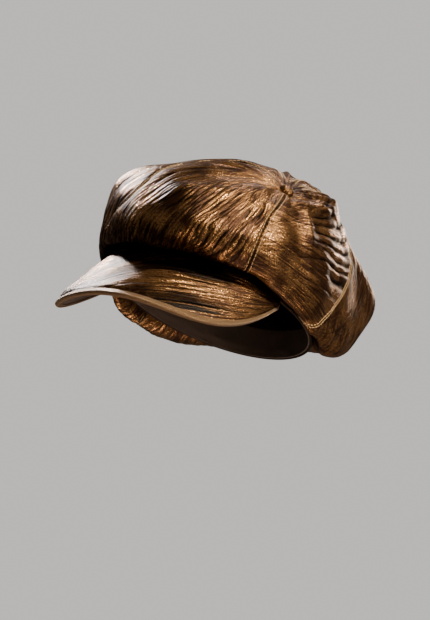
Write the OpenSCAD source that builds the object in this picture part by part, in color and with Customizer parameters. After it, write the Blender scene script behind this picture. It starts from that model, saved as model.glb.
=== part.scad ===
// Baker boy cap: five pleated crown panels, each with a lining panel, gathered onto a band,
// with a covered button at the crown and a bound, stiffened brim.
// Origin: centre of the head opening, in the plane of the band's lower edge.
// +Z goes up through the crown, -Y is the front, +X is the wearer's left.

/* [Head opening] */
// Width inside the sweatband, ear to ear
opening_w = 159; // [152:1:168]
// Length inside the sweatband, forehead to nape
opening_l = 195; // [186:1:206]
// Height of the band
band_h = 26; // [22:1:30]

/* [Crown puff] */
// How far the crown is thrown out at the front
puff_front = 64; // [54:1:74]
// How far the crown is thrown out at the front left
puff_front_left = 54; // [46:1:64]
// How far the crown is thrown out at the back left
puff_back_left = 41; // [34:1:50]
// How far the crown is thrown out at the back
puff_back = 112; // [96:1:118]
// How far the crown is thrown out at the back right
puff_back_right = 68; // [56:1:76]
// How far the crown is thrown out at the front right
puff_front_right = 28; // [20:1:38]

/* [Crown shoulders] */
// Height that the crown's shoulder is drawn to at the front
shoulder_front = 84; // [72:1:94]
// Height that the crown's shoulder is drawn to at the front left
shoulder_front_left = 100; // [88:1:110]
// Height that the crown's shoulder is drawn to at the back left
shoulder_back_left = 122; // [108:1:128]
// Height that the crown's shoulder is drawn to at the back
shoulder_back = 130; // [116:1:136]
// Height that the crown's shoulder is drawn to at the back right
shoulder_back_right = 105; // [94:1:116]
// Height that the crown's shoulder is drawn to at the front right
shoulder_front_right = 120; // [108:1:128]

/* [Crown fold] */
// Height that the crown's lower fold is drawn to at the front
fold_front = -29; // [-34:1:-20]
// Height that the crown's lower fold is drawn to at the front left
fold_front_left = -30; // [-36:1:-22]
// Height that the crown's lower fold is drawn to at the back left
fold_back_left = -39; // [-43:1:-30]
// Height that the crown's lower fold is drawn to at the back
fold_back = 18; // [8:1:24]
// Height that the crown's lower fold is drawn to at the back right
fold_back_right = -36; // [-40:1:-26]
// Height that the crown's lower fold is drawn to at the front right
fold_front_right = -14; // [-22:1:-6]

/* [Crown top] */
// Height of the crown above the opening
top_z = 106; // [98:1:114]
// Shift of the crown's highest part towards the wearer's left
top_x = 18; // [10:1:26]
// Shift of the crown's highest part towards the back
top_y = 26; // [16:1:36]
// Rise of the crown's top towards the wearer's left
rise_x = 0.45; // [0.2:0.01:0.5]
// Rise of the crown's top towards the front
rise_y = 0.31; // [0.15:0.01:0.38]
// Half the width of the crown's flat top
top_half_w = 51; // [42:1:60]
// Half the length of the crown's flat top
top_half_l = 82; // [70:1:92]
// How far the button has slouched to the wearer's left, as a share of the crown
slouch_x = 0.27; // [0.15:0.01:0.32]
// How far the button has slouched to the front, as a share of the crown
slouch_y = 0.26; // [0.15:0.01:0.32]
// How deep the button draws the crown in
tuft_depth = 4; // [2:0.5:6]
// Depth of the valley that each crown seam draws in
seam_dip = 2; // [0.5:0.5:3]

/* [Brim] */
// How far the brim reaches forward of the band
brim_reach = 37; // [30:1:46]
// How far the brim drops at its middle
brim_drop = 55; // [44:1:62]
// How much more the brim drops towards its ends
brim_arch = 42; // [30:1:50]
// Half of the angle of band that the brim is sewn to
brim_angle = 76; // [68:1:80]
// How far the brim widens beyond the band at its corners
brim_flare = 11; // [6:1:14]
// Thickness of the brim board
board_t = 2; // [1.5:0.1:2.6]

/* [Button] */
// Diameter of the covered button
button_d = 12; // [10:0.5:15]
// Height of the covered button
button_h = 4.5; // [4:0.5:6]

/* [Fabric] */
// Thickness of the pleated shell fabric
shell_t = 1.2; // [0.8:0.1:1.4]
// Thickness of the lining
lining_t = 0.6; // [0.4:0.1:0.8]
// Thickness of the topstitching thread
thread_d = 0.7; // [0.5:0.1:0.9]
// Distance of each row of topstitching from its seam
row_gap = 1.8; // [1.4:0.1:2.4]

/* [Hidden] */

bronze = [0.30, 0.21, 0.13];
dark_bronze = [0.22, 0.15, 0.10];
gold_thread = [0.62, 0.47, 0.28];
binding_tan = [0.58, 0.47, 0.33];
lining_brown = [0.14, 0.10, 0.08];
board_grey = [0.75, 0.74, 0.70];
steel = [0.66, 0.66, 0.68];

// The band is three plies, counted outwards from the head.
sweat_t = 0.9;
stiffener_t = 1;
band_t = 1;
ply_gap = 0.3;
wall = sweat_t + stiffener_t + band_t + 2 * ply_gap;
band_a = opening_w / 2 + wall;
band_b = opening_l / 2 + wall;
ply_sides = 120;

// The crown starts just outside the band's top edge and runs down, out and up again.
crown_start = 2;
fold_start = 6;
fold_rise = 4;
shoulder_tuck = 0.92;
lining_inset = 1.4;
panel_gap = 0.15;
hole_t = 0.985;
puff = [puff_front, puff_front_left, puff_back_left, puff_back, puff_back_right, puff_front_right];
shoulder = [shoulder_front, shoulder_front_left, shoulder_back_left, shoulder_back,
    shoulder_back_right, shoulder_front_right];
fold = [fold_front, fold_front_left, fold_back_left, fold_back, fold_back_right,
    fold_front_right];
top = [top_x, top_y, top_z];

// Each seam: its angle round the band, from the front towards the wearer's left, the angle
// that it comes to the button at, and how far it bows aside halfway up
seams = [[-34, -72, 36], [47, 45, -3], [80, 182, -22], [180, 215, 0], [250, 250, 0],
    [326, 288, 36]];
bow_skew = 1.3;
panel_across = 10;
panel_up = 18;
lining_across = 7;
lining_up = 12;
stitch_up = 22;

brim_across = 30;
brim_deep = 4;
cover_t = 0.8;
cover_gap = 0.1;
channel_in = 3.5;
channel_t = 0.5;
edge_gap = 0.4;
button_seat = 0.6;
cloth_t = shell_t / 2;
metal_t = 0.5;
metal_gap = 0.1;
back_inset = 0.8;
prong_r = 1.1;
prong_head_r = 2.3;
prong_drop = 6;
washer_r = 5.5;

function unit(v) = v / norm(v);
function mix(p, q, s) = p * (1 - s) + q * s;
function bezier(p, t) =
    len(p) == 1 ? p[0] : bezier([for (i = [0:len(p) - 2]) mix(p[i], p[i + 1], t)], t);

// Smooth value at an angle, through six values set every 60 degrees
function around(six, angle) =
    let (share = [for (i = [0:5]) let (d = angle - 60 * i)
        (1 + 2 * cos(d) + 2 * cos(2 * d) + cos(3 * d)) / 6])
    six * share;

// Point beside the band's outer face
function beside_band(angle, out, z) =
    let (n = unit([band_b * sin(angle), -band_a * cos(angle)]))
    [band_a * sin(angle) + out * n.x, -band_b * cos(angle) + out * n.y, z];

// The dome that the crown makes: t runs from the band seam, 0, to the dome's own top, 1
function dome_line(angle) =
    let (low = around(fold, angle), out = around(puff, angle),
        x = top_half_w * sin(angle), y = -top_half_l * cos(angle))
    [beside_band(angle, crown_start, band_h), beside_band(angle, fold_start, low),
        beside_band(angle, out, low / 2 - fold_rise),
        beside_band(angle, shoulder_tuck * out, around(shoulder, angle)),
        top + [x, y, rise_x * x - rise_y * y], top];

// The crown's outer surface: angle is where a line starts on the band, and t runs from the
// band seam, 0, to the button, 1, which has slouched aside from the dome's own top
function crown_at(angle, t) =
    let (x = (1 - t) * sin(angle) + t * t * slouch_x, y = (1 - t) * cos(angle) + t * t * slouch_y)
    bezier(dome_line(atan2(x, y)), 1 - norm([x, y]));
function crown_round(angle, t) = (crown_at(angle + 1, t) - crown_at(angle - 1, t)) / 2;
function crown_rise(angle, t) = crown_at(angle, min(1, t + 0.01)) - crown_at(angle, t - 0.01);
function crown_off(angle, t, d) =
    crown_at(angle, t)
        + (d - tuft_depth * pow(t, 14)) * unit(cross(crown_round(angle, t), crown_rise(angle, t)));
function seam_angle(i, t) =
    let (q = seams[i])
    mix(q[0], q[1], t * t * (3 - 2 * t)) + q[2] * pow(sin(180 * pow(t, bow_skew)), 2);

// Grid of points over panel i, at distance d from the outer surface
function panel_grid(i, d, across, up) = [
    for (r = [0:up]) let (t = hole_t * r / up) [
        for (c = [0:across]) let (
            u = c / across,
            angle = mix(seam_angle(i, t) + panel_gap, seam_angle(i + 1, t) - panel_gap, u),
            dip = seam_dip * pow(abs(2 * u - 1), 6) * sin(180 * t))
        crown_off(angle, t, d - dip)]
];

// Closed solid between two grids of points; front is the side that its rows turn towards
module shell(front, back) {
    n = len(front);
    m = len(front[0]);
    function f(i, j) = i * m + j;
    function b(i, j) = n * m + i * m + j;
    function quad(p, q, r, s) = [[p, q, r], [p, r, s]];
    polyhedron(
        points = [for (row = front) each row, for (row = back) each row],
        faces = [
            for (i = [0:n - 2], j = [0:m - 2]) each
                quad(f(i, j), f(i + 1, j), f(i + 1, j + 1), f(i, j + 1)),
            for (i = [0:n - 2], j = [0:m - 2]) each
                quad(b(i, j), b(i, j + 1), b(i + 1, j + 1), b(i + 1, j)),
            for (i = [0:n - 2]) each quad(b(i, 0), b(i + 1, 0), f(i + 1, 0), f(i, 0)),
            for (i = [0:n - 2]) each
                quad(f(i, m - 1), f(i + 1, m - 1), b(i + 1, m - 1), b(i, m - 1)),
            for (j = [0:m - 2]) each quad(f(0, j), f(0, j + 1), b(0, j + 1), b(0, j)),
            for (j = [0:m - 2]) each
                quad(f(n - 1, j + 1), f(n - 1, j), b(n - 1, j), b(n - 1, j + 1))
        ],
        convexity = 6);
}

// Closed tube through rings of points, with flat ends
module tube(rings) {
    n = len(rings);
    m = len(rings[0]);
    function k(i, j) = i * m + j % m;
    polyhedron(
        points = [for (ring = rings) each ring],
        faces = [
            [for (j = [0:m - 1]) j],
            for (i = [0:n - 2], j = [0:m - 1]) each
                [[k(i, j), k(i + 1, j), k(i + 1, j + 1)], [k(i, j), k(i + 1, j + 1), k(i, j + 1)]],
            [for (j = [m - 1:-1:0]) k(n - 1, j)]
        ],
        convexity = 6);
}

module crown_panel(i) {
    color(bronze)
        shell(panel_grid(i, 0, panel_across, panel_up),
            panel_grid(i, -shell_t, panel_across, panel_up));
}

module lining_panel(i) {
    inset = shell_t + lining_inset;
    color(lining_brown)
        shell(panel_grid(i, -inset, lining_across, lining_up),
            panel_grid(i, -inset - lining_t, lining_across, lining_up));
}

module crown_front_panel() crown_panel(0);
module crown_left_panel() crown_panel(1);
module crown_back_left_panel() crown_panel(2);
module crown_back_right_panel() crown_panel(3);
module crown_right_panel() crown_panel(4);
module lining_front_panel() lining_panel(0);
module lining_left_panel() lining_panel(1);
module lining_back_left_panel() lining_panel(2);
module lining_back_right_panel() lining_panel(3);
module lining_right_panel() lining_panel(4);

// Two rows of thread, one on each side of seam i, square in section
module topstitching(i) {
    first_t = 0.12;
    last_t = 0.96;
    color(gold_thread)
        for (side = [-1, 1])
            tube([for (r = [0:stitch_up])
                let (t = mix(first_t, last_t, r / stitch_up), mid = seam_angle(i, t),
                    round_step = crown_round(mid, t),
                    angle = mid + side * row_gap / norm(round_step),
                    n = unit(cross(round_step, crown_rise(mid, t))),
                    centre = crown_off(angle, t, thread_d - seam_dip * sin(180 * t) * 0.85))
                [for (q = [[-1, 0], [0, -1], [1, 0], [0, 1]])
                    centre + thread_d / 2 * (q.x * unit(round_step) + q.y * n)]]);
}

module front_right_topstitching() topstitching(0);
module front_left_topstitching() topstitching(1);
module back_left_topstitching() topstitching(2);
module centre_back_topstitching() topstitching(3);
module back_right_topstitching() topstitching(4);

// Upright ring that follows the head's oval, between two distances from the band's outer face
module band_ring(out_1, out_2, z1, z2) {
    oval = function (out) [for (i = [0:ply_sides - 1])
        let (p = beside_band(360 * i / ply_sides, out, 0)) [p.x, p.y]];
    translate([0, 0, z1])
        linear_extrude(z2 - z1)
            difference() {
                polygon(oval(out_2));
                polygon(oval(out_1));
            }
}

module outer_band() color(bronze) band_ring(-band_t, 0, 0, band_h);

module band_stiffener()
    color(board_grey)
        band_ring(-band_t - ply_gap - stiffener_t, -band_t - ply_gap, 1, band_h - 1);

module sweatband() color(dark_bronze) band_ring(-wall, -wall + sweat_t, 0.4, band_h);

// Tape that ties the crown, the lining and the band together along their top seam
module crown_seam_tape()
    color(lining_brown) band_ring(-wall, crown_start + shell_t, band_h + 0.2, band_h + 1.2);

// The brim's middle surface: u runs from its right end, -1, to its left end, 1, and s is the
// share of the way from the band to the edge
function brim_inner(u) = beside_band(brim_angle * u, 0, 0);
function brim_outer(u) =
    let (end = beside_band(brim_angle, 0, 0), p = 90 * u, share = pow(cos(p), 0.94))
    [end.x * sin(p) + brim_flare * sin(2 * p),
        end.y - (band_b + brim_reach + end.y) * share,
        -(brim_drop + brim_arch * pow(sin(p), 2)) * pow(cos(p), 0.88)];
function brim_len(u) = norm(brim_outer(u) - brim_inner(u));
function brim_at(u, s) = mix(brim_inner(u), brim_outer(u), s);
function brim_normal(u, s) =
    unit(cross(brim_at(u, s) - brim_at(u - 0.01, s), brim_inner(u) - brim_outer(u)));
function brim_off(u, s, d) = brim_at(u, s) + d * brim_normal(u, s);

// Grid of points over the brim at distance d, clear of the band and of the binding's fold
function brim_grid(d) = [
    for (r = [brim_deep:-1:0]) [
        for (c = [0:brim_across]) let (
            u = brim_u(c / brim_across),
            long = brim_len(u),
            s = mix(edge_gap / long, 1 - edge_gap / long, r / brim_deep))
        brim_off(u, s, d)]
];
function brim_u(k) = 0.96 * sin(180 * k - 90);

module brim_ply(low, high) shell(brim_grid(high), brim_grid(low));

module brim_top_cover()
    color(bronze) brim_ply(board_t / 2 + cover_gap, board_t / 2 + cover_gap + cover_t);

module brim_board() color(board_grey) brim_ply(-board_t / 2, board_t / 2);

module brim_under_cover()
    color(dark_bronze) brim_ply(-board_t / 2 - cover_gap - cover_t, -board_t / 2 - cover_gap);

// Binding folded round the brim's edge: a channel with a rounded back
module brim_binding() {
    half = board_t / 2 + 2 * cover_gap + cover_t;
    outer_half = half + channel_t;
    back = [for (a = [-60:30:60]) [outer_half * cos(a) * 0.8, outer_half * sin(a)]];
    section = [
        [-channel_in, -outer_half], each back, [-channel_in, outer_half],
        [-channel_in, half], [0, half], [0, -half], [-channel_in, -half]
    ];
    color(binding_tan)
        tube([for (c = [0:brim_across + 10])
            let (u = brim_u(c / (brim_across + 10)), edge = brim_outer(u),
                out = unit(edge - brim_inner(u)), n = brim_normal(u, 1),
                fit = min(1, brim_len(u) / (2 * channel_in)))
            [for (q = section) edge + (q.x < 0 ? q.x * fit : q.x) * out + q.y * n]]);
}

// Frame of the button: its seat on the crown and the way that the crown faces there
seat = [for (a = [0:90:270]) crown_off(a, hole_t, 0)];
button_up = unit(cross(seat[1] - seat[3], seat[2] - seat[0]));
button_at = (seat[0] + seat[1] + seat[2] + seat[3]) / 4;
module at_button()
    translate(button_at + button_seat * button_up)
        rotate([0, acos(button_up.z), atan2(button_up.y, button_up.x)])
            children();

// Dome of the given radius and height, hollow under a wall of the given thickness
module dome(r, h, t) {
    function curve(a, b) = [for (k = [0:9:90]) [a * cos(k), b * sin(k)]];
    rotate_extrude($fn = 48)
        polygon([each curve(r, h), each [for (p = [len(curve(1, 1)) - 1:-1:0])
            curve(r - t, h - t)[p]]]);
}

module button_cover() color(bronze) at_button() dome(button_d / 2, button_h, cloth_t);

module button_shell()
    color(steel) at_button()
        dome(button_d / 2 - cloth_t - metal_gap, button_h - cloth_t - metal_gap, metal_t);

// Thin metal disc with its lower face at height z, and the hole that the prong's stem needs
module disc(r, z) translate([0, 0, z]) cylinder(r = r, h = metal_t, $fn = 48);
module stem(r, low, high) translate([0, 0, low]) cylinder(r = r, h = high - low, $fn = 24);
module washer(r, z)
    difference() {
        disc(r, z);
        stem(prong_r + metal_gap, z - 1, z + metal_t + 1);
    }

module button_back() color(steel) at_button() washer(button_d / 2 - cloth_t - back_inset, 0);

// Prong that holds the button through the crown, with a head above the back plate and a foot
module button_prong()
    color(steel) at_button() {
        disc(prong_head_r, metal_t + metal_gap);
        stem(prong_r, -prong_drop, metal_t + 2 * metal_gap);
        disc(prong_head_r, -prong_drop);
    }

module button_washer()
    color(steel) at_button() washer(washer_r, metal_t + metal_gap - prong_drop);

crown_front_panel();
crown_left_panel();
crown_back_left_panel();
crown_back_right_panel();
crown_right_panel();
lining_front_panel();
lining_left_panel();
lining_back_left_panel();
lining_back_right_panel();
lining_right_panel();
front_right_topstitching();
front_left_topstitching();
back_left_topstitching();
centre_back_topstitching();
back_right_topstitching();
crown_seam_tape();
outer_band();
band_stiffener();
sweatband();
brim_top_cover();
brim_board();
brim_under_cover();
brim_binding();
button_cover();
button_shell();
button_back();
button_prong();
button_washer();
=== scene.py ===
"""A baker boy cap in crinkle-pleated bronze foil cloth, dressed over its CAD frame.

The crown and the brim follow the frame's own formulas, in millimetres as the frame has them, and
each mesh is scaled to metres when it is made. An angle goes round the band in degrees, from the
front towards the wearer's left.
"""

import math

import bpy
import numpy as np
from mathutils import Matrix, Vector


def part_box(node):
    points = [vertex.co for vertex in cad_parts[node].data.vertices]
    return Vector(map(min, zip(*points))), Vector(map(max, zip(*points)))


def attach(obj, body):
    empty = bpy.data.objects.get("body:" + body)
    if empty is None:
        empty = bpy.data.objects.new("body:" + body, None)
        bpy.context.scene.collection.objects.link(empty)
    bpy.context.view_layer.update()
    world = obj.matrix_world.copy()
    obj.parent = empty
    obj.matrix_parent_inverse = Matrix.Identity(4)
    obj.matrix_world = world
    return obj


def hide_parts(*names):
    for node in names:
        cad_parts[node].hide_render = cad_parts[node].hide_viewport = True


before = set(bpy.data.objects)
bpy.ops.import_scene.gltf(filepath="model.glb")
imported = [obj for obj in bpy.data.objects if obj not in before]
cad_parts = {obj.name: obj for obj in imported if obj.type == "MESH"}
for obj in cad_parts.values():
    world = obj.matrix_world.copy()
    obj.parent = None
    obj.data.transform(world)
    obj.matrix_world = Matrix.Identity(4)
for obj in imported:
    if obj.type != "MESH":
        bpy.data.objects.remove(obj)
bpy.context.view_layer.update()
MM = 0.001

# ---------------------------------------------------------------- camera
AZIMUTH, ELEVATION, ROLL = 34.0, -19.12, 18.8
DISTANCE = 1.8
LENS = 127.5
SHIFT_X, SHIFT_Y = 0.0065, -0.0038


def make_camera():
    az, el, roll = (math.radians(a) for a in (AZIMUTH, ELEVATION, ROLL))
    back = Vector((math.sin(az) * math.cos(el), -math.cos(az) * math.cos(el), math.sin(el)))
    level = Vector((math.cos(az), math.sin(az), 0))
    upright = back.cross(level)
    right = math.cos(roll) * level + math.sin(roll) * upright
    up = math.cos(roll) * upright - math.sin(roll) * level
    data = bpy.data.cameras.new("camera")
    data.lens = LENS
    data.shift_x, data.shift_y = SHIFT_X, SHIFT_Y
    cam = bpy.data.objects.new("camera", data)
    bpy.context.scene.collection.objects.link(cam)
    cam.matrix_world = Matrix.Translation(back * DISTANCE) @ Matrix(
        (right, up, back)).transposed().to_4x4()
    bpy.context.scene.camera = cam


make_camera()

# ---------------------------------------------------------------- the frame's dimensions, mm
band_low, band_high = (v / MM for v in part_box("outer_band"))
BAND_A = (band_high.x - band_low.x) / 2
BAND_B = (band_high.y - band_low.y) / 2
BAND_H = band_high.z - band_low.z
SWEAT_T, STIFFENER_T, BAND_T, PLY_GAP = 0.9, 1.0, 1.0, 0.3
WALL = SWEAT_T + STIFFENER_T + BAND_T + 2 * PLY_GAP
CROWN_START, FOLD_START, FOLD_RISE = 2.0, 6.0, 4.0
SHOULDER_TUCK = 0.92
# Front, front left, back left, back, back right and front right
PUFF = np.array([64, 54, 41, 112, 68, 28.0])
SHOULDER = np.array([84, 100, 122, 130, 105, 120.0])
FOLD = np.array([-29, -30, -39, 18, -36, -14.0])
TOP = np.array([18, 26, 106.0])
TOP_HALF_W, TOP_HALF_L = 51.0, 82.0
RISE_X, RISE_Y = 0.45, 0.31
SLOUCH_X, SLOUCH_Y = 0.27, 0.26
TUFT_DEPTH, SEAM_DIP = 4.0, 2.0
HOLE_T = 0.985
SHELL_T, LINING_INSET, LINING_T = 1.2, 1.4, 0.6
# Each seam's angle at the band and at the button, and how far it bows between them, in degrees.
# The last is the first again, a turn on.
SEAMS = ((-34, -72, 36), (47, 45, -3), (80, 182, -22), (180, 215, 0), (250, 250, 0),
         (326, 288, 36))
BOW_SKEW = 1.3
BRIM_ANGLE, BRIM_REACH, BRIM_DROP, BRIM_ARCH, BRIM_FLARE = 76.0, 37.0, 55.0, 42.0, 11.0
BOARD_T, COVER_T, COVER_GAP = 2.0, 0.5, 0.1
CHANNEL_IN, CHANNEL_T = 3.5, 0.4
BUTTON_D, BUTTON_H, BUTTON_SEAT = 12.0, 4.5, 0.6
ROW_GAP, THREAD_D = 1.8, 0.7
PANEL_NAMES = ("front", "left", "back_left", "back_right", "right")
SEAM_NAMES = ("front_right", "front_left", "back_left", "centre_back", "back_right")


# ---------------------------------------------------------------- maths
def unit(v):
    return v / np.maximum(np.linalg.norm(v, axis=-1, keepdims=True), 1e-9)


def mix(a, b, s):
    return a * (1 - s) + b * s


def ease(low, high, x):
    s = np.clip((x - low) / (high - low), 0, 1)
    return s * s * (3 - 2 * s)


def bell(x, width):
    return np.exp(-(x / width) ** 2)


def noise(x, y, seed):
    """Smooth gradient noise on a unit lattice, about -0.7 to 0.7."""
    x, y = np.broadcast_arrays(np.asarray(x, float), np.asarray(y, float))
    ix, iy = np.floor(x).astype(np.int64), np.floor(y).astype(np.int64)
    fx, fy = x - ix, y - iy

    def corner(dx, dy):
        n = ((ix + dx) * 374761393 + (iy + dy) * 668265263 + seed * 1442695041) & 0xFFFFFFFF
        n = ((n ^ (n >> 13)) * 1274126177) & 0xFFFFFFFF
        turn = ((n ^ (n >> 16)) & 0xFFFF) / 65536.0 * math.tau
        return np.cos(turn) * (fx - dx) + np.sin(turn) * (fy - dy)

    sx, sy = fx ** 3 * (fx * (fx * 6 - 15) + 10), fy ** 3 * (fy * (fy * 6 - 15) + 10)
    return mix(mix(corner(0, 0), corner(1, 0), sx), mix(corner(0, 1), corner(1, 1), sx), sy)


def pleats(p, q, size, seed, long=11.0):
    """Pressed pleats about size mm apart that run along q, long times as long as they are wide.
    1 on their tops, and down to 0 in the deepest of the narrow grooves between them."""
    phase = (p / size + 1.5 * noise(p / (4 * size), q / (long * size), seed)
             + 0.42 * noise(p / (1.2 * size), q / (0.6 * long * size), seed + 1))
    shallow_here = noise(p / (1.6 * size), q / (0.8 * long * size), seed + 2)
    deep = 0.25 + 0.75 * ease(-0.3, 0.25, shallow_here)
    return 1 - deep * (1 - np.abs(np.sin(math.pi * phase)) ** 0.5)


# ---------------------------------------------------------------- the crown's surface
def around(six, angle):
    total = 0
    for i, value in enumerate(six):
        d = np.radians(angle - 60 * i)
        total = total + value * (1 + 2 * np.cos(d) + 2 * np.cos(2 * d) + np.cos(3 * d)) / 6
    return total


def beside_band(angle, out, z):
    a = np.radians(angle)
    n = unit(np.stack([BAND_B * np.sin(a), -BAND_A * np.cos(a)], -1))
    x, y = BAND_A * np.sin(a) + out * n[..., 0], -BAND_B * np.cos(a) + out * n[..., 1]
    return np.stack(np.broadcast_arrays(x, y, z), -1)


def crown_at(angle, t):
    a = np.radians(angle)
    x = (1 - t) * np.sin(a) + t * t * SLOUCH_X
    y = (1 - t) * np.cos(a) + t * t * SLOUCH_Y
    line, s = np.degrees(np.arctan2(x, y)), 1 - np.hypot(x, y)
    low, out = around(FOLD, line), around(PUFF, line)
    tx, ty = TOP_HALF_W * np.sin(np.radians(line)), -TOP_HALF_L * np.cos(np.radians(line))
    crest = TOP + np.stack([tx, ty, RISE_X * tx - RISE_Y * ty], -1)
    points = (beside_band(line, CROWN_START, BAND_H), beside_band(line, FOLD_START, low),
              beside_band(line, out, low / 2 - FOLD_RISE),
              beside_band(line, SHOULDER_TUCK * out, around(SHOULDER, line)), crest, TOP)
    s = s[..., None]
    return sum(math.comb(5, k) * s ** k * (1 - s) ** (5 - k) * p for k, p in enumerate(points))


def crown_frame(angle, t):
    """Point, distance in mm for a degree round, and normal of the plain crown."""
    round_step = (crown_at(angle + 1, t) - crown_at(angle - 1, t)) / 2
    rise = crown_at(angle, np.minimum(1, t + 0.01)) - crown_at(angle, t - 0.01)
    return crown_at(angle, t), np.linalg.norm(round_step, axis=-1), unit(np.cross(round_step, rise))


def seam_angle(i, t):
    start, end, bow = SEAMS[i]
    return mix(start, end, t * t * (3 - 2 * t)) + bow * np.sin(math.pi * t ** BOW_SKEW) ** 2


def panel_angle(i, u, t):
    return mix(seam_angle(i, t), seam_angle(i + 1, t), u)


DEGREE = 1.57    # mm a degree, a usual distance round the crown
RISE = 200.0     # mm from the band seam to the button, along the cloth
PIECE_STEP = 40.0    # mm between the panels' cloth coordinates, so that no two share a pattern
BRIM_CLOTH = 300.0
PLAIN_PLEAT_SHADE = 0.72    # how pleat-topped flat cloth beside a seam looks, from 0 to 1: its pleat value, which sets how much painted groove shade it gets
# Where the full cloth stands out further: angle, t, their spans, and height in mm
BULGES = ((-42, 0.56, 16, 0.11, 9.0), (156, 0.53, 14, 0.10, 6.5), (-46, 0.27, 16, 0.10, -2.5),
          (-3, 0.60, 7, 0.05, 2.5))


def relief(i, angle, t, wide, edge):
    """Height in mm of panel i's cloth over the plain crown, and its pleats from 0 to 1, which the
    foil material paints as shade in the grooves. wide is mm a degree there, and edge is the
    distance in mm from the nearer seam."""
    across, along = angle * DEGREE, t * RISE
    crowd = np.clip(wide / DEGREE, 0.12, 1.0)
    settle = ease(0.8, 4.5, edge)
    folds = noise(angle / 19, t * 5.5, 7) * 3.0 + noise(angle / 10, t * 10, 8) * 1.6
    patchy = ease(-0.35, 0.25, noise(angle / 22, t * 6, 30 + i))
    if i == 1:    # the wearer's left panel is ribbed across, and smoother beside its front seam
        ribs = ease(66, 80, angle) * ease(0.36, 0.50, t) * (1 - ease(0.86, 0.93, t))
        p = along + 0.8 * DEGREE * np.maximum(95 - angle, 0) ** 2 / 94
        fine = pleats(p, across, 3.0, 11, 8) * 0.5 + pleats(p, across, 6.5, 12, 6) * 0.5
        rib = pleats(p + 2.0 * noise(across / 30, p / 40, 13), across, 9.0, 14, 16)
        cloth = mix(fine * (0.55 + 0.45 * patchy), 1.7 * rib - 0.4, ribs)
        depth = mix(0.18 + 0.40 * patchy, 0.72, ribs)
    elif i == 2:    # the back left is ribbed beside its seam, and runs up to the button beyond
        turn = 1 - ease(20, 60, angle - seam_angle(2, t))
        p = mix(across, 0.74 * along - 0.67 * across, turn) + 6 * noise(along / 60, across / 60, 21)
        cloth = pleats(p, along, 6.5, 24, 8) * 0.7 + pleats(p, along, 3.1, 25, 9) * 0.4
        depth = crowd * (0.25 + 0.55 * patchy)
    elif i == 3:    # the back right is pleated from the band to the button
        p = across + 14 * noise(along / 50, across / 50, 21)
        cloth = pleats(p, along, 6.4, 26, 7) * 0.65 + pleats(p, along, 3.1, 27, 9) * 0.45
        depth = crowd * (0.22 + 0.55 * patchy)
    else:    # the front and the right fan out from the button
        p = across + 0.00225 * (along - 100) ** 2 + 7 * noise(along / 55, across / 55, 31)
        cloth = pleats(p, along, 6.4, 32 + i, 9) * 0.62 + pleats(p, along, 3.0, 36 + i, 13) * 0.5
        depth = crowd * (0.62 + 0.5 * patchy)
    round_button = bell(t - 0.86, 0.06)
    gathers = np.cos(np.radians(angle * 17) + 3 * noise(angle / 40, t * 6, 41))
    pucker = (0.5 + 0.5 * gathers) * round_button * crowd ** 0.5 * 2.2 * (1 - ease(0.89, 0.94, t))
    turned = angle % 360
    hook = 4.2 * bell(t - 0.850, 0.034) * ease(40, 80, turned) * (1 - ease(195, 250, turned))
    ridge = 3.4 * bell((angle - 63 - 9 * np.sin(3 * t)) * wide, 6.5) * ease(0.5, 0.68, t)
    ridge *= (1 - ease(0.84, 0.92, t)) * (i == 1)
    for at_angle, at_t, angle_span, t_span, rise in BULGES:
        off = (angle - at_angle + 180) % 360 - 180
        folds = folds + rise * bell(off, angle_span) * bell(t - at_t, t_span)
    folds = folds * (1 - ease(0.93, 0.97, t))    # the button holds the cloth flat
    height = (settle * 2.3 * (cloth - 0.6) * depth + ridge * settle + folds
              + ease(0, 3, edge) * pucker + hook)
    # The pleat value is 1 on the pleats' tops and lower in their deep grooves, and the foil
    # material turns it into painted shade.
    pleat_shade = np.clip(mix(1, cloth, np.clip(depth, 0, 1)), 0, 1)
    return height * ease(0, 0.06, t), mix(PLAIN_PLEAT_SHADE, pleat_shade, settle)


def crown_cloth(i, angle, t, inset=0.0, plain=False):
    """Point, pleat value (the mask of the painted groove shade) and cloth coordinates on panel i,
    at inset mm under its face.
    """
    base, wide, normal = crown_frame(angle, t)
    first, last = seam_angle(i, t), seam_angle(i + 1, t)
    u = np.clip((angle - first) / (last - first), 0, 1)
    edge = np.minimum(angle - first, last - angle) * wide
    dip = 0.3 * SEAM_DIP * np.abs(2 * u - 1) ** 6 * np.sin(math.pi * t) + 0.5 * bell(edge, 0.4)
    tuft = TUFT_DEPTH * t ** 14
    if plain:
        height, pleat = 0.0, np.zeros_like(t)
    else:
        height, pleat = relief(i, angle, t, wide, edge)
    depth = height - dip - tuft - inset
    kind = (t * RISE, angle * DEGREE) if i == 1 else (angle * DEGREE, t * RISE)
    cloth = np.stack([*kind, np.full_like(t, PIECE_STEP * i)], -1)
    return base + depth[..., None] * normal, pleat, cloth


# ---------------------------------------------------------------- mesh making
def mesh_piece(name, points, faces, slot, material, **layers):
    mesh = bpy.data.meshes.new(name)
    mesh.from_pydata((np.asarray(points) * MM).tolist(), [], faces)
    mesh.polygons.foreach_set("use_smooth", [True] * len(mesh.polygons))
    for layer, values in layers.items():
        values = np.asarray(values, np.float32)
        kind, field = ("FLOAT", "value") if values.ndim == 1 else ("FLOAT_VECTOR", "vector")
        mesh.attributes.new(layer, kind, "POINT").data.foreach_set(field, values.ravel())
    mesh.materials.append(material)
    mesh.update()
    piece = bpy.data.objects.new(name, mesh)
    bpy.context.scene.collection.objects.link(piece)
    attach(piece, "root")
    return piece


def grid_faces(rows, columns, first=0, flip=False, wrap=False):
    k = np.arange(rows * columns).reshape(rows, columns) + first
    if wrap:
        k = np.hstack([k, k[:, :1]])
    quads = np.stack([k[:-1, :-1], k[:-1, 1:], k[1:, 1:], k[1:, :-1]], -1).reshape(-1, 4)
    return quads[:, ::-1].tolist() if flip else quads.tolist()


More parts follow.
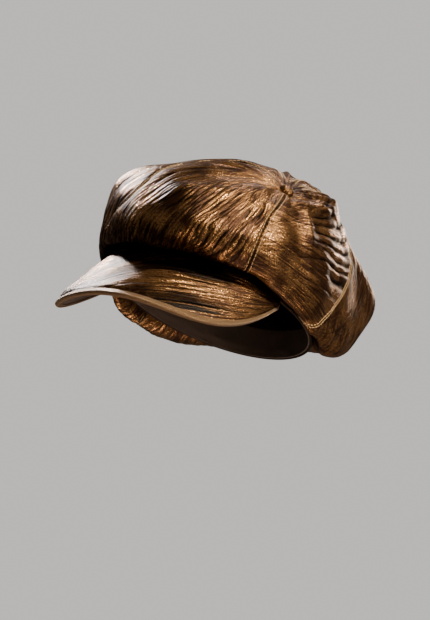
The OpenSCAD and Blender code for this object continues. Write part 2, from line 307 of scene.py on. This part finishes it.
def shell_piece(name, front, back, slot, material, flip=False, **layers):
    """A closed cloth between two grids of points that are the same size."""
    rows, columns = front.shape[:2]
    n = rows * columns
    k = np.arange(n).reshape(rows, columns)
    rim = np.concatenate([k[0, :-1], k[:-1, -1], k[-1, :0:-1], k[:0:-1, 0]])
    after = np.roll(rim, -1)
    side = np.stack([after, rim, rim + n, after + n], -1)
    faces = grid_faces(rows, columns, 0, flip) + grid_faces(rows, columns, n, not flip)
    faces += (side[:, ::-1] if flip else side).tolist()
    both = {key: np.concatenate([v.reshape(n, *v.shape[2:])] * 2) for key, v in layers.items()}
    points = np.concatenate([front.reshape(-1, 3), back.reshape(-1, 3)])
    return mesh_piece(name, points, faces, slot, material, **both)


def ring_piece(name, section, slot, material, turns=420, **layers):
    """A closed ring. section(angle) gives (turns, k, 3) points for angles of shape (turns, 1)."""
    angle = np.linspace(0, 360, turns, endpoint=False)[:, None]
    points = section(angle)
    k = points.shape[1]
    index = np.arange(turns * k).reshape(turns, k)
    nxt = np.roll(index, -1, 0)
    faces = np.stack([index, np.roll(index, -1, 1), np.roll(nxt, -1, 1), nxt], -1)
    where = np.stack(np.broadcast_arrays(angle * DEGREE, points[..., 2], 0 * points[..., 2]), -1)
    # Bronze rings such as the outer band get the flat pleat value 0.5, which paints them almost all
    # in the dark groove shade.
    layers.setdefault("pleat", np.full(turns * k, 0.5))
    return mesh_piece(name, points.reshape(-1, 3), faces.reshape(-1, 4).tolist(), slot, material,
                      cloth=where.reshape(-1, 3), **layers)


# ---------------------------------------------------------------- materials
class Nodes:
    """Short calls for building a material's nodes."""

    def __init__(self, name):
        self.material = bpy.data.materials.new(name)
        self.material.use_nodes = True
        self.tree = self.material.node_tree
        self.shader = self.tree.nodes["Principled BSDF"]

    def add(self, kind, inputs=(), **values):
        node = self.tree.nodes.new(kind)
        for key, value in values.items():
            setattr(node, key, value)
        for key, value in dict(inputs).items():
            self.put(node.inputs[key], value)
        return node

    def put(self, socket, value):
        if isinstance(value, bpy.types.NodeSocket):
            self.tree.links.new(value, socket)
        else:
            socket.default_value = value

    def math(self, operation, a, b=0.5, clamp=False):
        node = self.add("ShaderNodeMath", {0: a, 1: b}, operation=operation)
        node.use_clamp = clamp
        return node.outputs[0]

    def attribute(self, name, output="Fac"):
        return self.add("ShaderNodeAttribute", attribute_name=name).outputs[output]

    def place(self):
        """Place on the object, in millimetres."""
        place = self.add("ShaderNodeTexCoord").outputs["Object"]
        return self.scaled(place, (1000, 1000, 1000))

    def scaled(self, vector, scale):
        node = self.add("ShaderNodeVectorMath", {0: vector, 1: scale}, operation="MULTIPLY")
        return node.outputs[0]

    def noise(self, vector, scale, detail=2.0, rough=0.5):
        return self.add("ShaderNodeTexNoise", {
            "Vector": vector, "Scale": scale, "Detail": detail, "Roughness": rough}).outputs[0]

    def range(self, value, low, high, out_low=0.0, out_high=1.0):
        return self.add("ShaderNodeMapRange", {
            0: value, 1: low, 2: high, 3: out_low, 4: out_high}).outputs[0]

    def mix(self, factor, a, b):
        node = self.add("ShaderNodeMix", data_type="RGBA")
        self.put(node.inputs[0], factor)
        self.put(node.inputs[6], a)
        self.put(node.inputs[7], b)
        return node.outputs[2]

    def bump(self, height, strength, distance, normal=None):
        node = self.add("ShaderNodeBump", {
            "Height": height, "Strength": strength, "Distance": distance})
        if normal is not None:
            self.put(node.inputs["Normal"], normal)
        return node.outputs[0]

    def set(self, **values):
        for key, value in values.items():
            self.put(self.shader.inputs[key.replace("_", " ")], value)
        return self.material


def foil_cloth(name, deep, mid, bright):
    """Woven cloth printed with metal foil that has rubbed off into grains. Its pleats' grooves are
    painted shade: where the pleat value is low the colour darkens and the foil fades.
    """
    m = Nodes(name)
    cloth, place = m.attribute("cloth", "Vector"), m.place()
    pleat = m.attribute("pleat")
    streaks = m.noise(m.scaled(cloth, (0.55, 0.022, 1)), 1.0, 3.0, 0.55)
    grains = m.noise(place, 0.80, 2.0, 0.85)
    patches = m.noise(place, 0.05, 2.0, 0.5)
    # Painted shade in the pleats' grooves: a low pleat value takes the colour from the mid colour
    # down to the near-black first colour, and takes the foil away too.
    crest = m.range(pleat, 0.45, 1.0)
    foil_and_groove_shade = m.math("MULTIPLY", crest, m.range(m.math("ADD", streaks, m.math(
        "MULTIPLY", patches, 0.7)), 0.77, 1.02, 0.05, 1.0), clamp=True)
    speckle = m.range(grains, 0.40, 0.60, 0.05, 1.0)
    speckled_foil_and_groove_shade = m.math("MULTIPLY", foil_and_groove_shade, speckle, clamp=True)
    colour = m.mix(speckled_foil_and_groove_shade, m.mix(crest, deep, mid), bright)
    height = m.math("ADD", m.math("MULTIPLY", streaks, 0.35), m.math("MULTIPLY", grains, 0.75))
    normal = m.bump(height, 0.5, 0.0012)
    return m.set(Base_Color=colour, Metallic=m.range(speckled_foil_and_groove_shade, 0, 1, 0.7, 1.0),
                 Roughness=m.range(speckled_foil_and_groove_shade, 0, 1, 0.34, 0.17), Normal=normal,
                 Specular_IOR_Level=0.35)


def woven_cloth(name, dark, light, rough, size, sheen=0.0, bump=0.4, metal=0.0):
    """Plain weave, with its yarns size mm wide, along and across the cloth coordinates."""
    m = Nodes(name)
    cloth, place = m.attribute("cloth", "Vector"), m.place()
    turn = math.pi / size
    split = m.add("ShaderNodeSeparateXYZ", {0: cloth})
    wave = [m.math("SINE", m.math("MULTIPLY", split.outputs[axis], turn)) for axis in (0, 1)]
    weave = m.math("MULTIPLY", wave[0], wave[1])
    slub = m.noise(place, 0.9, 3.0, 0.6)
    shade = m.math("ADD", m.range(weave, -1, 1, 0.0, 0.5), m.range(slub, 0.3, 0.7, 0.0, 0.5))
    normal = m.bump(m.math("ADD", weave, m.math("MULTIPLY", slub, 1.5)), bump, 0.0003)
    return m.set(Base_Color=m.mix(shade, dark, light), Roughness=m.range(
        slub, 0.3, 0.7, rough - 0.06, rough + 0.06), Normal=normal, Sheen_Weight=sheen,
        Metallic=metal)


def plain_finish(name, dark, light, rough, metal, scale, bump=0.15):
    m = Nodes(name)
    grain = m.noise(m.place(), scale, 3.0, 0.6)
    return m.set(Base_Color=m.mix(m.range(grain, 0.35, 0.65), dark, light), Metallic=metal,
                 Roughness=m.range(grain, 0.3, 0.7, rough - 0.08, rough + 0.08),
                 Normal=m.bump(grain, bump, 0.0003))


def rgb(*values):
    return (*values, 1.0)


# The first colour is painted shade in the pleats' grooves, the second is the bare cloth and the
# third is the foil.
bronze = foil_cloth("bronze_foil_cloth", rgb(0.003, 0.0012, 0.0007), rgb(0.030, 0.010, 0.0045),
                    rgb(0.80, 0.42, 0.17))
satin = woven_cloth("lining_satin", rgb(0.055, 0.034, 0.026), rgb(0.13, 0.085, 0.062), 0.34, 0.35,
                    0.1, 0.25)
ribbon = woven_cloth("sweatband_ribbon", rgb(0.045, 0.028, 0.020), rgb(0.15, 0.10, 0.072), 0.50,
                     0.70, 0.2, 0.9)
under_cloth = woven_cloth("brim_under_cloth", rgb(0.040, 0.024, 0.017), rgb(0.11, 0.070, 0.050),
                          0.55, 0.5, 0.15, 0.7)
tape_cloth = woven_cloth("seam_tape_cloth", rgb(0.02, 0.014, 0.01), rgb(0.06, 0.042, 0.03), 0.7,
                         0.5, 0.1, 0.6)
binding_cloth = woven_cloth("binding_cloth", rgb(0.12, 0.066, 0.030), rgb(0.32, 0.19, 0.09), 0.38,
                            0.45, 0.2, 0.7, 0.45)
thread = plain_finish("topstitch_thread", rgb(0.40, 0.25, 0.12), rgb(0.78, 0.56, 0.32), 0.42, 0.2,
                      2.5, 0.4)
buckram = woven_cloth("buckram", rgb(0.45, 0.42, 0.36), rgb(0.68, 0.65, 0.58), 0.85, 0.9, 0, 0.8)
card = plain_finish("brim_card", rgb(0.42, 0.40, 0.36), rgb(0.62, 0.60, 0.54), 0.8, 0.0, 1.2)
steel = plain_finish("pressed_steel", rgb(0.42, 0.42, 0.43), rgb(0.62, 0.62, 0.63), 0.32, 1.0, 3.0)

# ---------------------------------------------------------------- crown panels and lining
ACROSS, UP = 215, 205
LINING_ACROSS, LINING_UP = 120, 110
CLOTH_T = 0.7
# Each panel's cut, an estimate in metres: its width, its length, and an area that was set near the
# dressed cloth's own.
PANEL_CUTS = ((0.16, 0.20, 0.0205), (0.14, 0.20, 0.0180), (0.21, 0.26, 0.0360),
              (0.20, 0.26, 0.0340), (0.21, 0.25, 0.0345))


def panel_grid(i, across, up, inset, gap=0.02, plain=False):
    t = np.linspace(0, HOLE_T, up)[:, None] + np.zeros(across)
    u = np.linspace(0, 1, across) + np.zeros((up, 1))
    u = u + 0.012 * np.sin(math.tau * u)    # a little closer at the seams
    angle = panel_angle(i, u, t) + gap * (1 - 2 * u)
    return crown_cloth(i, angle, t, inset, plain), angle, t


for i, where in enumerate(PANEL_NAMES):
    (front, pleat, cloth), _, _ = panel_grid(i, ACROSS, UP, 0)
    (back, _, _), _, _ = panel_grid(i, ACROSS, UP, CLOTH_T)
    name = f"crown_{where}_panel"
    panel = shell_piece(f"cloth_{name}", front, back, "shell_fabric", bronze, pleat=pleat,
                        cloth=cloth)
    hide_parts(name)
    wide, long, area = PANEL_CUTS[i]


def lining_grid(i, inset):
    (points, _, cloth), angle, t = panel_grid(i, LINING_ACROSS, LINING_UP, inset, plain=True)
    _, wide, normal = crown_frame(angle, t)
    creases = pleats(angle * DEGREE, t * RISE, 16, 61 + i, 5) * np.clip(wide / DEGREE, 0.15, 1)
    first, last = seam_angle(i, t), seam_angle(i + 1, t)
    edge = np.minimum(angle - first, last - angle) * wide
    slack = ease(0.03, 0.3, t) * ease(0, 14, edge) * (0.6 + 1.9 * creases + 1.2 * bell(
        edge - 12, 10))
    return points - slack[..., None] * normal, cloth


for i, where in enumerate(PANEL_NAMES):
    inset = SHELL_T + LINING_INSET
    front, cloth = lining_grid(i, inset)
    back, _ = lining_grid(i, inset + LINING_T)
    name = f"lining_{where}_panel"
    lining = shell_piece(f"cloth_{name}", front, back, "lining", satin, cloth=cloth)
    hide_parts(name)
    wide, long, area = PANEL_CUTS[i]


# ---------------------------------------------------------------- topstitching
def stitches(name, rows, length, gap, radius, slot, material):
    """Separate stitches along each row, a dense list of points with normals: each is a thread
    that rises out of the cloth, lies on it and goes back in."""
    sides, rings = 7, 6
    points, faces = [], []
    for line, normal in rows:
        step = np.linalg.norm(np.diff(line, axis=0), axis=1)
        far = np.concatenate([[0], np.cumsum(step)])
        for start in np.arange(gap, far[-1] - length, length + gap):
            s = start + length * (0.5 - 0.5 * np.cos(np.linspace(0, math.pi, rings)))
            centre = np.stack([np.interp(s, far, line[:, a]) for a in range(3)], -1)
            up = unit(np.stack([np.interp(s, far, normal[:, a]) for a in range(3)], -1))
            ahead = unit(centre[-1] - centre[0])
            side = unit(np.cross(up, ahead))
            thick = radius * np.sqrt(np.clip(1 - ((s - s[0]) / length * 2 - 1) ** 4, 0.06, 1))
            lift = (thick * 0.75 - 0.3 * radius)[:, None] * up
            turn = np.linspace(0, math.tau, sides, endpoint=False)[None, :, None]
            ring = (centre + lift)[:, None] + thick[:, None, None] * (
                np.cos(turn) * side[:, None] + np.sin(turn) * up[:, None])
            first = len(points)
            points.extend(ring.reshape(-1, 3))
            faces += grid_faces(rings, sides, first, wrap=True)
            faces.append(list(range(first, first + sides)))
            faces.append(list(range(first + (rings - 1) * sides, first + rings * sides))[::-1])
    return mesh_piece(name, np.array(points), faces, slot, material)


STITCH_LONG, STITCH_GAP = 2.7, 0.7
ROW_START, ROW_END = 0.10, 0.955    # the share of the way from the band to the button


for i, where in enumerate(SEAM_NAMES):
    rows = []
    t = np.linspace(ROW_START, ROW_END, 700)
    mid = seam_angle(i, t)
    _, wide, normal = crown_frame(mid, t)
    for side in (-1, 1):
        owner = i if side > 0 else (i - 1) % 5
        angle = mid + side * ROW_GAP / wide
        if i == 0 and side < 0:    # the right panel's angles run on past 360
            angle = angle + 360
        points, _, _ = crown_cloth(owner, angle, t)
        rows.append((points, normal))
    name = f"{where}_topstitching"
    row = stitches(f"thread_{name}", rows, STITCH_LONG, STITCH_GAP, THREAD_D / 2, "thread",
                   thread)
    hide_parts(name)


# ---------------------------------------------------------------- band, sweatband and tape
def from_outline(outline, wave):
    """section() for ring_piece from (out, z) pairs and wave(angle, out, z), which is added to
    out."""
    def section(angle):
        out, z = (np.array([p[k] for p in outline])[None, :] for k in (0, 1))
        return beside_band(angle, out + wave(angle, out, z), z)
    return section


def line(a, b, n):
    return [tuple(mix(np.array(a, float), np.array(b, float), s)) for s in np.linspace(0, 1, n)]


def arc(centre, radius, start, end, n):
    return [(centre[0] + radius[0] * math.cos(math.radians(a)),
             centre[1] + radius[1] * math.sin(math.radians(a))) for a in np.linspace(start, end, n)]


inner_ply = -WALL + SWEAT_T
band_outline = (line((0, BAND_H), (0, 0.9), 24) + arc((-0.9, 0.8), (0.9, 0.8), -10, -90, 6)
                + line((-1.2, 0), (inner_ply + 0.25, 0.05), 4) + [(inner_ply + 0.05, 0.35)]
                + line((inner_ply + 0.15, 0.75), (-BAND_T - 0.1, 0.75), 3)
                + line((-BAND_T, 1.0), (-BAND_T, BAND_H), 12))


def band_wave(angle, out, z):
    face = (out > -0.02) * ease(0.5, 4, z) * (1 - ease(BAND_H - 3, BAND_H, z))
    return face * (0.75 * pleats(angle * DEGREE + 3 * noise(z / 20, angle / 9, 72), z, 3.6, 71, 9))


# Its flat pleat value paints the band in the dark groove shade.
band = ring_piece("cloth_outer_band", from_outline(band_outline, band_wave), "shell_fabric", bronze,
                  turns=900)
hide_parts("outer_band")

sweat_outline = (arc((-WALL + 0.45, BAND_H - 0.45), (0.45, 0.45), 0, 180, 7)
                 + line((-WALL, BAND_H - 1), (-WALL, 1.4), 18)
                 + arc((-WALL + 0.45, 0.85), (0.45, 0.45), 180, 360, 7)
                 + line((inner_ply, 1.4), (inner_ply, BAND_H - 1), 12))


def sweat_wave(angle, out, z):
    inner = out < -WALL + 0.3
    return -1.0 * inner * ease(2, 8, z) * (0.25 + 0.6 * noise(angle / 11, z / 14, 81))


sweatband = ring_piece("ribbon_sweatband", from_outline(sweat_outline, sweat_wave), "sweatband",
                       ribbon)
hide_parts("sweatband")

tape_low, tape_high = (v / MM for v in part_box("crown_seam_tape"))
tape_mid, tape_half = (tape_low.z + tape_high.z) / 2, (tape_high.z - tape_low.z) / 2
tape_out = tape_high.x - BAND_A
tape_outline = (arc((tape_out - 0.5, tape_mid), (0.5, tape_half), -90, 90, 7)
                + line((tape_out - 1, tape_mid + tape_half), (-WALL + 1, tape_mid + tape_half), 8)
                + arc((-WALL + 0.5, tape_mid), (0.5, tape_half), 90, 270, 7)
                + line((-WALL + 1, tape_mid - tape_half), (tape_out - 1, tape_mid - tape_half), 8))
tape = ring_piece("tape_crown_seam", from_outline(tape_outline, lambda angle, out, z: 0 * angle),
                  "tape", tape_cloth)
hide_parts("crown_seam_tape")


# ---------------------------------------------------------------- brim
def brim_inner(u):
    return beside_band(BRIM_ANGLE * u, 0, 0 * u)


def brim_outer(u):
    end = beside_band(np.array(BRIM_ANGLE), 0, 0)
    p = np.radians(90 * u)
    share = np.cos(p) ** 0.94
    return np.stack([end[0] * np.sin(p) + BRIM_FLARE * np.sin(2 * p),
                     end[1] - (BAND_B + BRIM_REACH + end[1]) * share,
                     -(BRIM_DROP + BRIM_ARCH * np.sin(p) ** 2) * np.cos(p) ** 0.88], -1)


def brim_at(u, s):
    return mix(brim_inner(u), brim_outer(u), s[..., None])


def brim_frame(u, s):
    point = brim_at(u, s)
    normal = unit(np.cross(point - brim_at(u - 0.01, s), brim_inner(u) - brim_outer(u)))
    return point, normal


def brim_u(k):
    return 0.96 * np.sin(np.radians(180 * k - 90))


BRIM_ACROSS, BRIM_DEEP = 330, 120
BRIM_LONG = 66.0    # mm from the band to the edge at the middle
BRIM_HALF = 79.0    # mm from the brim's middle to its end, along the band


def brim_fan():
    """How far the pleats drift towards the edge: they leave the wearer's left end along the brim,
    and turn towards its front edge on their way to the right."""
    u = np.linspace(-1, 1, 400)
    lean = np.minimum(1.1 * (np.maximum(0.8 - u, 0) / 0.8) ** 1.5, 1.6)
    drift = np.cumsum(lean) * (u[1] - u[0]) * BRIM_HALF
    return u, drift - drift[-1]


BRIM_FAN = brim_fan()


def brim_grid(lift, pleated):
    """Point, pleat value (the mask of the painted groove shade) and cloth coordinates, lift mm
    above the middle of the board.
    """
    u = brim_u(np.linspace(0, 1, BRIM_ACROSS))[None, :] + np.zeros((BRIM_DEEP, 1))
    long = np.linalg.norm(brim_outer(u) - brim_inner(u), axis=-1)
    s = mix(0.4 / long, 1 - 0.4 / long, np.linspace(1, 0, BRIM_DEEP)[:, None])
    point, normal = brim_frame(u, s)
    from_end = (1 + u) / 2    # 0 at the wearer's right end and 1 at the left
    along = BRIM_HALF * u
    across = BRIM_LONG * s + np.interp(u, *BRIM_FAN)
    p = across + 4 * noise(along / 45, across / 30, 91)
    crowd = np.clip(long / BRIM_LONG, 0.15, 1)
    patchy = ease(-0.3, 0.25, noise(along / 34, across / 20, 95))
    cloth = pleats(p, along, 5.6, 92, 12) * 0.6 + pleats(p, along, 2.7, 93, 15) * 0.45
    cloth = cloth * crowd * (0.55 + 0.55 * patchy)
    crush = ease(0.72, 0.86, from_end) * pleats(p * 0.8, along, 4.2, 94, 3)
    edge = np.minimum(s * long, (1 - s) * long - CHANNEL_IN)
    settle = ease(0, 3.5, edge)
    waves = ease(0, 10, edge) * (1.3 * noise(along / 26, across / 18, 97) + 0.7)
    height = settle * (1.7 * cloth + 0.7 * crush * crowd + waves)
    lift = lift + (height if pleated else 0.25 * settle * pleats(p, along, 9, 96, 8))
    where = np.stack([p, along, np.full_like(p, BRIM_CLOTH)], -1)
    # The pleat value returned sets the painted shade in the grooves, and it is lower towards the
    # brim's narrow ends.
    return point + lift[..., None] * normal, np.clip(cloth + 0.5 * crush, 0, 1), where


ply = BOARD_T / 2 + COVER_GAP
bottom, _, _ = brim_grid(ply, True)
face, pleat, cloth = brim_grid(ply + COVER_T, True)
top_cover = shell_piece("cloth_brim_top_cover", face, bottom, "shell_fabric", bronze, flip=True,
                        pleat=pleat, cloth=cloth)
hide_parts("brim_top_cover")

under_face, _, cloth = brim_grid(-ply - COVER_T, False)
under_back, _, _ = brim_grid(-ply, False)
under = shell_piece("cloth_brim_under_cover", under_face, under_back, "under_cover", under_cloth,
                    cloth=cloth)
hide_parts("brim_under_cover")


BINDING_TURNS = 1500
BINDING_LONG = 290.0    # mm round the brim's edge
TWILL = 1.9             # mm from one rib of the binding to the next


def binding():
    turns = BINDING_TURNS
    u = brim_u(np.linspace(0, 1, turns))
    edge, inner = brim_outer(u), brim_inner(u)
    out, long = unit(edge - inner), np.linalg.norm(edge - inner, axis=-1)
    _, normal = brim_frame(u, np.ones_like(u))
    half = BOARD_T / 2 + 2 * COVER_GAP + COVER_T
    outer_half = half + CHANNEL_T
    lip = arc((-CHANNEL_IN + 0.25, -half - CHANNEL_T / 2), (0.25, CHANNEL_T / 2), 270, 90, 5)
    outside = [(x, -outer_half) for x in np.linspace(0, -CHANNEL_IN + 0.3, 6)]
    bow = [(outer_half * math.cos(math.radians(a)) * 0.8, outer_half * math.sin(math.radians(a)))
           for a in np.linspace(-80, 80, 13)]
    low = outside[::-1]
    high = [(x, -y) for x, y in outside]
    inside_high = [(x, half) for x in np.linspace(-CHANNEL_IN + 0.3, -0.2, 4)]
    inside_low = [(x, -half) for x in np.linspace(-0.2, -CHANNEL_IN + 0.3, 4)]
    section = np.array(low + bow + high + [(x, -y) for x, y in lip] + inside_high + inside_low
                       + lip[::-1])
    fit = np.minimum(1, long / (2 * CHANNEL_IN))[:, None]
    x, y = section[None, :, 0], section[None, :, 1]
    along = np.linspace(0, BINDING_LONG, turns)[:, None]
    outside_here = (np.abs(y) > half + 0.1) | (x > 0.1)
    twist = along + 1.1 * x * np.sign(y) + 0.8 * y
    wave = outside_here * (0.16 * noise(along / 11, y / 5, 102)
                           + 0.13 * np.abs(np.sin(math.pi * twist / TWILL)) - 0.06)
    x = np.where(x < 0, x * fit, x) + wave * (x > 0)
    y = y + wave * np.sign(y) * (x <= 0)
    points = edge[:, None] + x[..., None] * out[:, None] + y[..., None] * normal[:, None]
    k = section.shape[0]
    faces = grid_faces(turns, k, wrap=True)
    faces += [list(range(k)), list(range((turns - 1) * k, turns * k))[::-1]]
    where = np.stack(np.broadcast_arrays(along, y, 0 * y), -1).reshape(-1, 3)
    return mesh_piece("cloth_brim_binding", points.reshape(-1, 3), faces, "binding", binding_cloth,
                      cloth=where)


edging = binding()
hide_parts("brim_binding")


# ---------------------------------------------------------------- button
def button():
    spots = np.array([0, 90, 180, 270.0])
    seat, _, normal = crown_frame(spots, np.full(4, HOLE_T))
    seat = seat - (TUFT_DEPTH * HOLE_T ** 14) * normal
    up = unit(np.cross(seat[1] - seat[3], seat[2] - seat[0]))
    side = unit(np.cross(up, np.array([0, 0, 1.0])))
    other = np.cross(up, side)
    rings, turns = 34, 160
    turn = np.linspace(0, math.tau, turns, endpoint=False)[None, :]
    a = np.radians(np.linspace(90, -25, rings))[:, None]
    radius, height = BUTTON_D / 2 * np.cos(a) ** 0.8, BUTTON_H * np.sin(a)
    under_edge = ease(0, -0.4, np.sin(a))
    folds = pleats(turn * 5.2 + 0 * a, radius, 1.0, 111, 6)
    fine = np.abs(np.sin(turn * 9 + 1.2 * noise(turn * 2, radius / 3, 112)))
    # This pleat value also sets the painted shade in the cover's folds, through the foil material.
    pleat = 0.55 * folds + 0.45 * fine
    lift = 0.55 * (pleat - 0.6) * ease(0.15, 0.9, radius / (BUTTON_D / 2))
    radius = radius * (1 - 0.2 * under_edge) + lift * np.cos(a)
    height = np.maximum(height + lift * np.sin(np.maximum(a, 0)), -0.4)
    base = seat.mean(0) + BUTTON_SEAT * up
    points = base + radius[..., None] * (np.cos(turn)[..., None] * side + np.sin(
        turn)[..., None] * other) + (height + 0 * turn)[..., None] * up
    where = np.stack(np.broadcast_arrays(turn * 8, radius, 0 * radius), -1)
    faces = grid_faces(rings, turns, flip=True, wrap=True)
    return mesh_piece("cloth_button_cover", points.reshape(-1, 3), faces, "shell_fabric", bronze,
                      pleat=np.broadcast_to(pleat, points.shape[:2]).ravel(),
                      cloth=where.reshape(-1, 3))


cover = button()
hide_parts("button_cover")

# ---------------------------------------------------------------- CAD parts that stay
for node, finish in (("band_stiffener", buckram), ("brim_board", card), ("button_shell", steel),
                     ("button_back", steel), ("button_prong", steel), ("button_washer", steel)):
    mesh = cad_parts[node].data
    mesh.materials.clear()
    mesh.materials.append(finish)

# ---------------------------------------------------------------- stage and light
FLOOR_Z, FLOOR_R = -2.2, 14.0
PAPER = (0.78, 0.76, 0.73)


def floor():
    mesh = bpy.data.meshes.new("floor")
    turn = np.linspace(0, math.tau, 64, endpoint=False)
    mesh.from_pydata([(FLOOR_R * math.cos(a), FLOOR_R * math.sin(a), FLOOR_Z) for a in turn], [],
                     [list(range(64))])
    m = Nodes("floor_paper")
    grain = m.noise(m.place(), 0.02)
    m.set(Base_Color=m.mix(grain, rgb(0.62, 0.60, 0.57), rgb(0.66, 0.64, 0.61)), Roughness=0.9,
          Emission_Color=rgb(*PAPER), Emission_Strength=0.74)
    mesh.materials.append(m.material)
    piece = bpy.data.objects.new("floor", mesh)
    piece.visible_diffuse = piece.visible_glossy = False    # its own paleness lights nothing
    bpy.context.scene.collection.objects.link(piece)


def lamp(name, place, size, power, colour, aim=(0.0, 0.0, 0.04)):
    data = bpy.data.lights.new(name, "AREA")
    data.size, data.energy, data.color = size, power, colour
    piece = bpy.data.objects.new(name, data)
    bpy.context.scene.collection.objects.link(piece)
    piece.location = place
    piece.rotation_mode = "QUATERNION"
    piece.rotation_quaternion = (Vector(aim) - Vector(place)).to_track_quat("-Z", "Y")


def studio_world():
    """Pale paper all round as the camera sees it, and dimmer as a light, so that foil has depth."""
    world = bpy.data.worlds.new("studio")
    world.use_nodes = True
    tree = world.node_tree
    seen, light = tree.nodes["Background"], tree.nodes.new("ShaderNodeBackground")
    seen.inputs[0].default_value, seen.inputs[1].default_value = rgb(*PAPER), 0.9
    light.inputs[0].default_value, light.inputs[1].default_value = rgb(0.80, 0.66, 0.55), 0.08
    path, join = tree.nodes.new("ShaderNodeLightPath"), tree.nodes.new("ShaderNodeMixShader")
    tree.links.new(path.outputs["Is Camera Ray"], join.inputs[0])
    tree.links.new(light.outputs[0], join.inputs[1])
    tree.links.new(seen.outputs[0], join.inputs[2])
    tree.links.new(join.outputs[0], tree.nodes["World Output"].inputs[0])
    bpy.context.scene.world = world


floor()
studio_world()
lamp("key", (-1.45, 0.15, 1.15), 0.18, 52, (1.0, 0.92, 0.90))
lamp("front", (1.4, -0.65, 1.05), 0.20, 56, (1.0, 0.86, 0.64))
lamp("side", (1.9, -0.15, 0.10), 0.42, 9, (1.0, 0.87, 0.68))
lamp("top", (-0.1, 0.42, 1.8), 0.30, 9, (1.0, 0.84, 0.78))
lamp("back", (-0.2, 1.5, 0.95), 0.35, 6, (1.0, 0.78, 0.62))
lamp("below", (0.5, 0.2, -1.8), 0.8, 26, (1.0, 0.74, 0.56))
